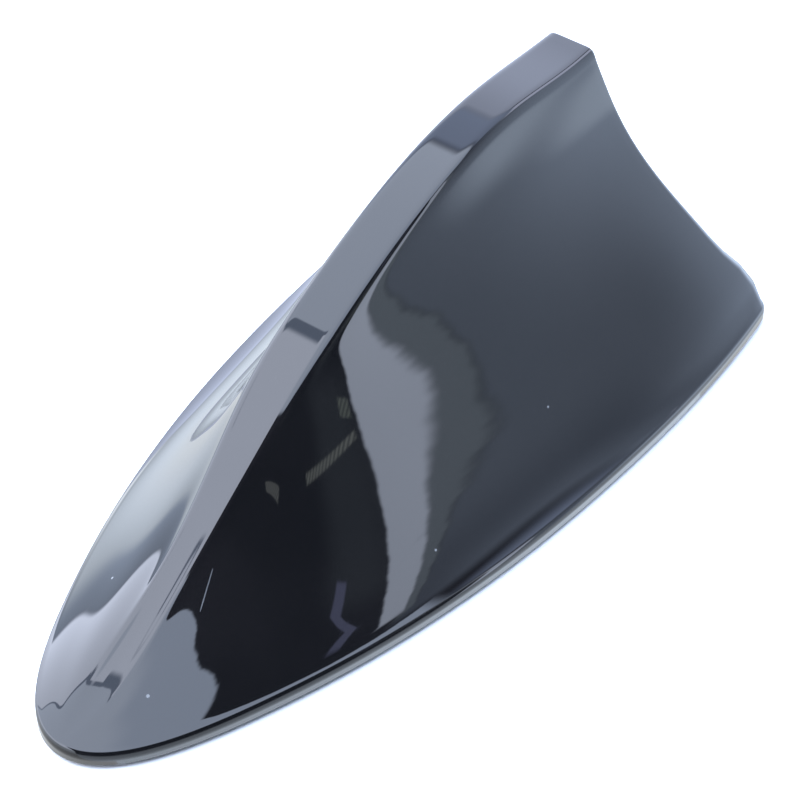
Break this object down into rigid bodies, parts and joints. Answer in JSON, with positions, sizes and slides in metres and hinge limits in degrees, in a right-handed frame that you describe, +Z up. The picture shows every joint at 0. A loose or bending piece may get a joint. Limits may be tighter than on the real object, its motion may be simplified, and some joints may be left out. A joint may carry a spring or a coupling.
{
  "type": "shark fin aerial",
  "caption": "Stick-on roof aerial: a glossy fin-shaped cover with a flat ridge and hollow flanks, screwed over a base plate with board, coil and top plate.",
  "frame": {"origin": "middle of the box on the plane of the adhesive face, where the part stands on the roof", "axes": "+X towards the low nose (front of the vehicle), +Y to the left, +Z up from the roof"},
  "size_m": [0.165, 0.0788, 0.0617],
  "materials": {
    "gloss_cover": "gloss, moulded in black with a blue cast",
    "base_plastic": "matte, fine moulded grain",
    "seal_rubber": "matte closed-cell rubber",
    "foam_tape": "grey adhesive foam",
    "board": "green solder mask",
    "tinned_steel": "tinned sheet",
    "chip_black": "moulded package",
    "copper_wire": "enamelled copper",
    "capacitor_can": "satin aluminium can",
    "ceramic": "ceramic chip",
    "former_plastic": "natural nylon",
    "spring_metal": "phosphor bronze strip",
    "screw_steel": "zinc plated"
  },
  "bodies": {
    "root": {"cover": "gloss_cover", "base_plate": "base_plastic", "foot_seal": "seal_rubber", "adhesive_tape": "foam_tape", "circuit_board": "board", "shield_can": "tinned_steel", "amplifier_chip": "chip_black", "tuning_coil": "copper_wire", "filter_capacitor": "capacitor_can", "coupling_capacitor": "ceramic", "surge_diode": "chip_black", "coil_former": "former_plastic", "aerial_coil": "copper_wire", "top_plate": "tinned_steel", "ridge_pad": "foam_tape", "cable_grommet": "seal_rubber", "cable_clamp": "base_plastic", "earth_strip": "spring_metal", "cover_screw_rear_left": "screw_steel", "cover_screw_rear_right": "screw_steel", "cover_screw_front_left": "screw_steel", "cover_screw_front_right": "screw_steel", "board_screw_rear": "screw_steel", "board_screw_front": "screw_steel", "clamp_screw": "screw_steel"}
  },
  "joints": []
}
